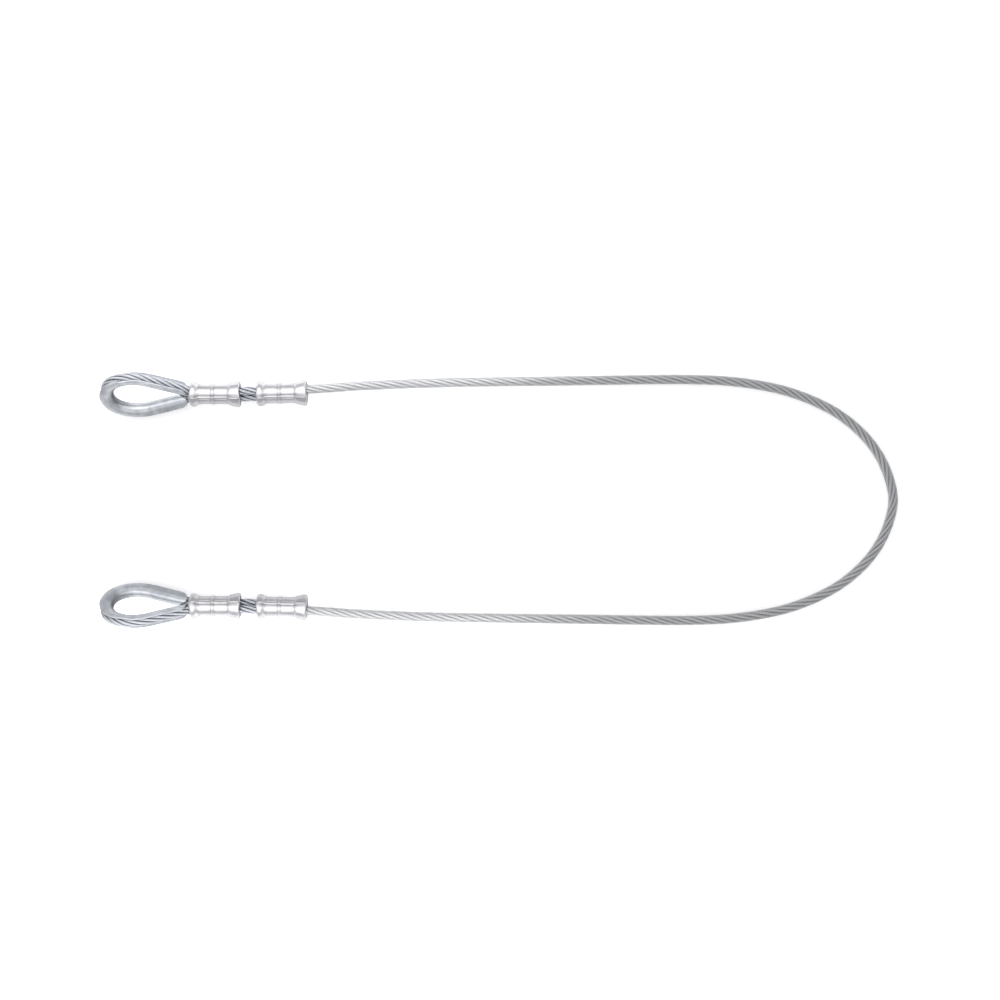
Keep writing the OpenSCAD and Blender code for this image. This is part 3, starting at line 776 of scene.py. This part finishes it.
def sleeve_mesh(name, side, run_end, seed):
    """Sleeve in its own frame: x along it, theta from +u towards +n."""
    g = np.random.default_rng(seed)
    cols = 200
    fin = math.radians(90 - 19)
    base_th = np.arange(cols) / cols * TAU
    # crowd the columns towards the two flash fins
    th = base_th - 0.32 * np.sin(2 * (base_th - fin)) / 2 * 1.0
    xs = np.unique(np.concatenate([np.linspace(0, SLEEVE_L, 100), np.linspace(0, 1.2, 8), np.linspace(SLEEVE_L - 1.2, SLEEVE_L, 8),
                                   np.linspace(15.4, 19.6, 24), np.linspace(28, 31, 14)]))
    r0 = outline_at(xs)[:, None] * np.ones(cols)[None, :]
    d1 = np.degrees((th - fin + math.pi) % TAU - math.pi)
    d2 = np.degrees((th - fin + TAU) % TAU - math.pi)
    near = np.where(np.abs(d1) < np.abs(d2), d1, d2)
    body = smoothstep(xs, 0.6, 3.0) * (1 - smoothstep(xs, SLEEVE_L - 2.2, SLEEVE_L - 0.6))
    fin_w = 2.0 + 0.4 * np.interp(xs, np.linspace(0, SLEEVE_L, 9), g.normal(0, 1, 9))
    ridge_h = 0.40 * (0.75 + 0.2 * np.interp(xs, np.linspace(0, SLEEVE_L, 12), g.normal(0, 1, 12)).clip(-1, 1))
    lift = np.exp(-np.abs(near[None, :] / fin_w[:, None]) ** 2.2) * ridge_h[:, None]
    pinch = 0.30 * np.exp(-((np.abs(near) - 8.0) / 4.5) ** 2)
    # the die closes along the fin's plane, so the section is very slightly oval
    oval = 0.12 * np.cos(2 * (th - fin))
    flat = 0.10 * np.cos(6 * (th - fin))
    waist = 1 - np.clip((r0[:, :1] - 7.65) / 1.6, 0, 1)
    r = r0 - oval[None, :] * waist * 0.8 - pinch[None, :] * (0.35 + 0.65 * waist) * body[:, None] - 0.5 * flat[None, :] * waist * body[:, None]
    r = r + lift * body[:, None]
    # small uneven dents
    for _ in range(26):
        x0, t0, w, q = g.uniform(1, 38), g.uniform(0, TAU), g.uniform(0.8, 3.0), g.uniform(0.01, 0.045)
        dt = (th - t0 + math.pi) % TAU - math.pi
        r = r - q * np.exp(-(((xs - x0) / w) ** 2)[:, None] - ((dt * 8 / w) ** 2)[None, :])
    # painted shade in the creases beside the two flash fins, and in thin lines at the ring edges and flare steps
    crease = np.exp(-((np.abs(near)[None, :] - 3.6) / 1.5) ** 2) * body[:, None] * 0.55
    ridge_line = np.exp(-((xs - 16.0) / 0.3) ** 2) + np.exp(-((xs - 19.0) / 0.3) ** 2) + 0.8 * np.exp(-((xs - 7.2) / 0.4) ** 2) + 0.9 * np.exp(-((xs - 28.9) / 0.35) ** 2)
    crease = np.maximum(crease, 0.35 * ridge_line[:, None])
    # bore
    if run_end:
        t = smoothstep(xs, SLEEVE_L - 3.2, SLEEVE_L - 2.6)
        bore = (1 - t)[:, None] * twin_radius(th, ROPE_GAP, 3.4, 1.6)[None, :] + t[:, None] * twin_radius(th, ROPE_GAP, 4.35, 2.6)[None, :]
    else:
        t = 1 - smoothstep(xs, 4.6, 6.4)
        bore = (1 - t)[:, None] * twin_radius(th, ROPE_GAP, 3.4, 1.6)[None, :] + t[:, None] * twin_radius(th, ROPE_GAP + 0.5, 3.75, 2.4)[None, :]
    lipx = smoothstep(xs, 0, 0.5) * (1 - smoothstep(xs, SLEEVE_L - 0.5, SLEEVE_L))
    bore = bore + 0.25 * (1 - lipx)[:, None]
    # the ends stand out a little where the flash was squeezed along
    tongue = np.exp(-(np.abs(near) / 24.0) ** 2)[None, :] * (smoothstep(xs, 34.5, SLEEVE_L) - (1 - smoothstep(xs, 0, 3.5)))[:, None] * 0.75
    outer = np.stack([xs[:, None] + tongue, r * np.cos(th)[None, :], r * np.sin(th)[None, :]], -1)
    inner = np.stack([xs[:, None] + tongue, bore * np.cos(th)[None, :], bore * np.sin(th)[None, :]], -1)
    m = len(xs)
    v = np.concatenate([outer.reshape(-1, 3), inner.reshape(-1, 3)])
    o = m * cols
    f = grid_faces(m, cols) + [tuple(reversed(q)) for q in grid_faces(m, cols, o)]
    f += [(k, o + k, o + (k + 1) % cols, (k + 1) % cols) for k in range(cols)]
    e0 = (m - 1) * cols
    f += [(e0 + (k + 1) % cols, o + e0 + (k + 1) % cols, o + e0 + k, e0 + k) for k in range(cols)]
    lay = np.stack([v[:, 0], np.arctan2(v[:, 2], v[:, 1]) * 8, np.full(len(v), seed * 3.0)], 1)
    # painted shade inside the bore: every inner face is darkened at 0.75
    cr = np.concatenate([crease.ravel(), np.full(m * cols, 0.75)])
    # place it: grid_faces above winds for x forward with theta from +u to +n, which faces inward, so turn it over
    f = [tuple(reversed(q)) for q in f]
    if run_end:
        c, s = math.cos(math.radians(YAW)), math.sin(math.radians(YAW))
        x = v[:, 0] - YAW_X - SLEEVE_L - SLEEVE_BACK
        v = np.stack([YAW_X + x * c - v[:, 1] * s, x * s + v[:, 1] * c, v[:, 2]], 1)
    else:
        v = v + np.array([EYE_SLEEVE_X, 0, 0])
    v = to_row(v, side)
    if side < 0:
        f = [tuple(reversed(q)) for q in f]
    return make_mesh(name, v, f, {"lay": lay, "crease": cr}, sharp_deg=55)


# ---------------------------------------------------------------- the two eyes
for tag, side in (("a", 1), ("b", -1)):
    body = f"eye_{tag}"
    # strands
    n = 340
    ls = np.linspace(0, EYE_LEN, n + 1)
    st = np.array([eye_state(l) for l in ls])
    c = np.stack([st[:, 0], st[:, 1], np.zeros(n + 1)], 1)
    t = np.stack([np.cos(st[:, 2]), np.sin(st[:, 2]), np.zeros(n + 1)], 1)
    n1 = np.stack([-np.sin(st[:, 2]), np.cos(st[:, 2]), np.zeros(n + 1)], 1)
    n2 = np.repeat(np.array([[0, 0, 1.0]]), n + 1, 0)
    for j in range(6):
        v, f, a, rings = strand_mesh(c, t, n1, n2, ls, j * TAU / 6, side, HELIX_R, STRAND_R, LAY, 9, 5, 20.4,
                              np.random.default_rng(90 + j), wobble=0.0)
        v = to_row(v, side)
        if side < 0:
            f = [tuple(reversed(q)) for q in f]
        ob = make_mesh(f"strand_{j + 1}_{tag}_wires", v, f, a, sharp_rings=rings)
        ob.data.materials.append(BARE)
        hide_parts(f"strand_{j + 1}_{tag}")
        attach(ob, body)
    th = thimble_mesh(f"thimble_{tag}_channel", side)
    th.data.materials.append(ZINC)
    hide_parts(f"thimble_{tag}")
    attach(th, body)
    for kind, run_end, seed in (("eye", False, 3), ("run", True, 5)):
        sl = sleeve_mesh(f"sleeve_{kind}_{tag}_pressed", side, run_end, seed + (0 if side > 0 else 20))
        sl.data.materials.append(ALU)
        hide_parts(f"sleeve_{kind}_{tag}")
        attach(sl, body)
    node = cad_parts[f"rope_core_{tag}"]
    node.data.materials.clear()
    node.data.materials.append(CORE)

# ---------------------------------------------------------------- floor, lights
bpy.ops.mesh.primitive_plane_add(size=80, location=(0, 0, 0))
floor = bpy.context.object
floor.name = "floor"
floor.data.materials.append(FLOOR)

world = bpy.data.worlds.new("studio")
scene.world = world
world.use_nodes = True
wn = world.node_tree
bg = wn.nodes["Background"]
k = Kit(wn)
tc = k.node("ShaderNodeTexCoord")
sep = k.node("ShaderNodeSeparateXYZ")
k.link(tc.outputs["Generated"], sep.inputs[0])
col = k.ramp(k.map(sep.outputs["Z"], -0.1, 1.0, 0.0, 1.0), [(0.0, (0.36, 0.365, 0.38)), (0.35, (0.48, 0.485, 0.50)), (0.75, (0.80, 0.80, 0.81)), (1.0, (0.93, 0.93, 0.935))])
k.link(col, bg.inputs["Color"])
bg.inputs["Strength"].default_value = 0.70


def area(name, location, target, size, size_y, radiance, colour=(1, 1, 1)):
    """A soft box, given by how bright its face is."""
    d = bpy.data.lights.new(name, "AREA")
    d.shape = "RECTANGLE"
    d.size, d.size_y = size, size_y
    d.energy = radiance * math.pi * size * size_y
    d.color = colour
    ob = bpy.data.objects.new(name, d)
    ob.location = location
    way = Vector(target) - Vector(location)
    ob.rotation_euler = way.to_track_quat("-Z", "Y").to_euler()
    scene.collection.objects.link(ob)
    return ob


area("soft_left", (-0.3, 0.9, 1.2), (-0.05, 0, 0), 1.4, 0.6, 1.0, (1.0, 0.995, 0.985))
area("soft_right", (-0.3, -0.9, 1.2), (-0.05, 0, 0), 1.4, 0.6, 1.0, (1.0, 0.995, 0.985))
# a low strip over each eye's outer side, in a plane through the middle line, so that each lights its own eye
for sg, name in ((1, "strip_a"), (-1, "strip_b")):
    lean, near, far = math.radians(50), 0.10, 0.85
    mid = (near + far) / 2
    at = (-0.2475, sg * mid * math.sin(lean), mid * math.cos(lean))
    strip = area(name, at, (at[0], at[1] + sg * math.cos(lean), at[2] - math.sin(lean)), 0.545, far - near, 1.8, (1.0, 0.998, 0.99))
    strip.visible_camera = False

scene.view_settings.view_transform = "Standard"
scene.view_settings.look = "None"
scene.view_settings.exposure = 0.0
scene.view_settings.gamma = 1.0
